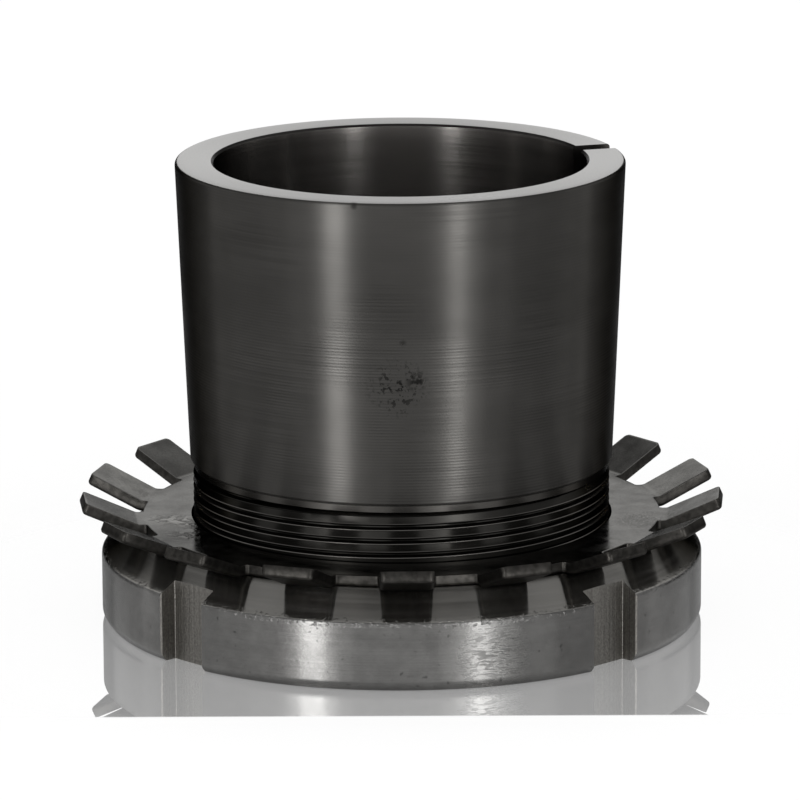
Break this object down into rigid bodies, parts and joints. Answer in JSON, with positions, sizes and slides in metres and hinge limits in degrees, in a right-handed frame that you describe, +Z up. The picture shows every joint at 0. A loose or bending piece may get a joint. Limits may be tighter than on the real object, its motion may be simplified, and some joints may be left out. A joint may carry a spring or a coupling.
{
  "type": "bearing adapter sleeve",
  "caption": "Slit tapered sleeve that clamps a bearing on a shaft, with a round slotted lock nut and a lock washer with bent outer tabs.",
  "frame": {"origin": "centre of the threaded end, in the plane that the part stands on", "axes": "+Z up along the bore, from the threaded end with the nut to the large end; -Y faces the viewer"},
  "size_m": [0.0696, 0.0694, 0.05],
  "materials": {
    "sleeve_steel": "fine turned, oiled dark steel",
    "washer_steel": "cold rolled and punched, slightly dull",
    "nut_steel": "turned, polished on the rim and the cone"
  },
  "bodies": {
    "sleeve": {"adapter_sleeve": "sleeve_steel"},
    "washer": {"lock_washer": "washer_steel"},
    "nut": {"lock_nut": "nut_steel"}
  },
  "joints": [
    {"name": "washer_slide", "type": "slide", "parent": "sleeve", "child": "washer", "axis": [0, 0, 1], "range_m": [-0.0091, 0.0053]},
    {"name": "nut_turn", "type": "hinge", "parent": "washer", "child": "nut", "pos_m": [0, 0, 0.005], "axis": [0, 0, 1], "range_deg": [-2160, 1260]}
  ],
  "couplings": [
    {"joint": "washer_slide", "follows": "nut_turn", "m_per_rad": 0.00023873}
  ]
}
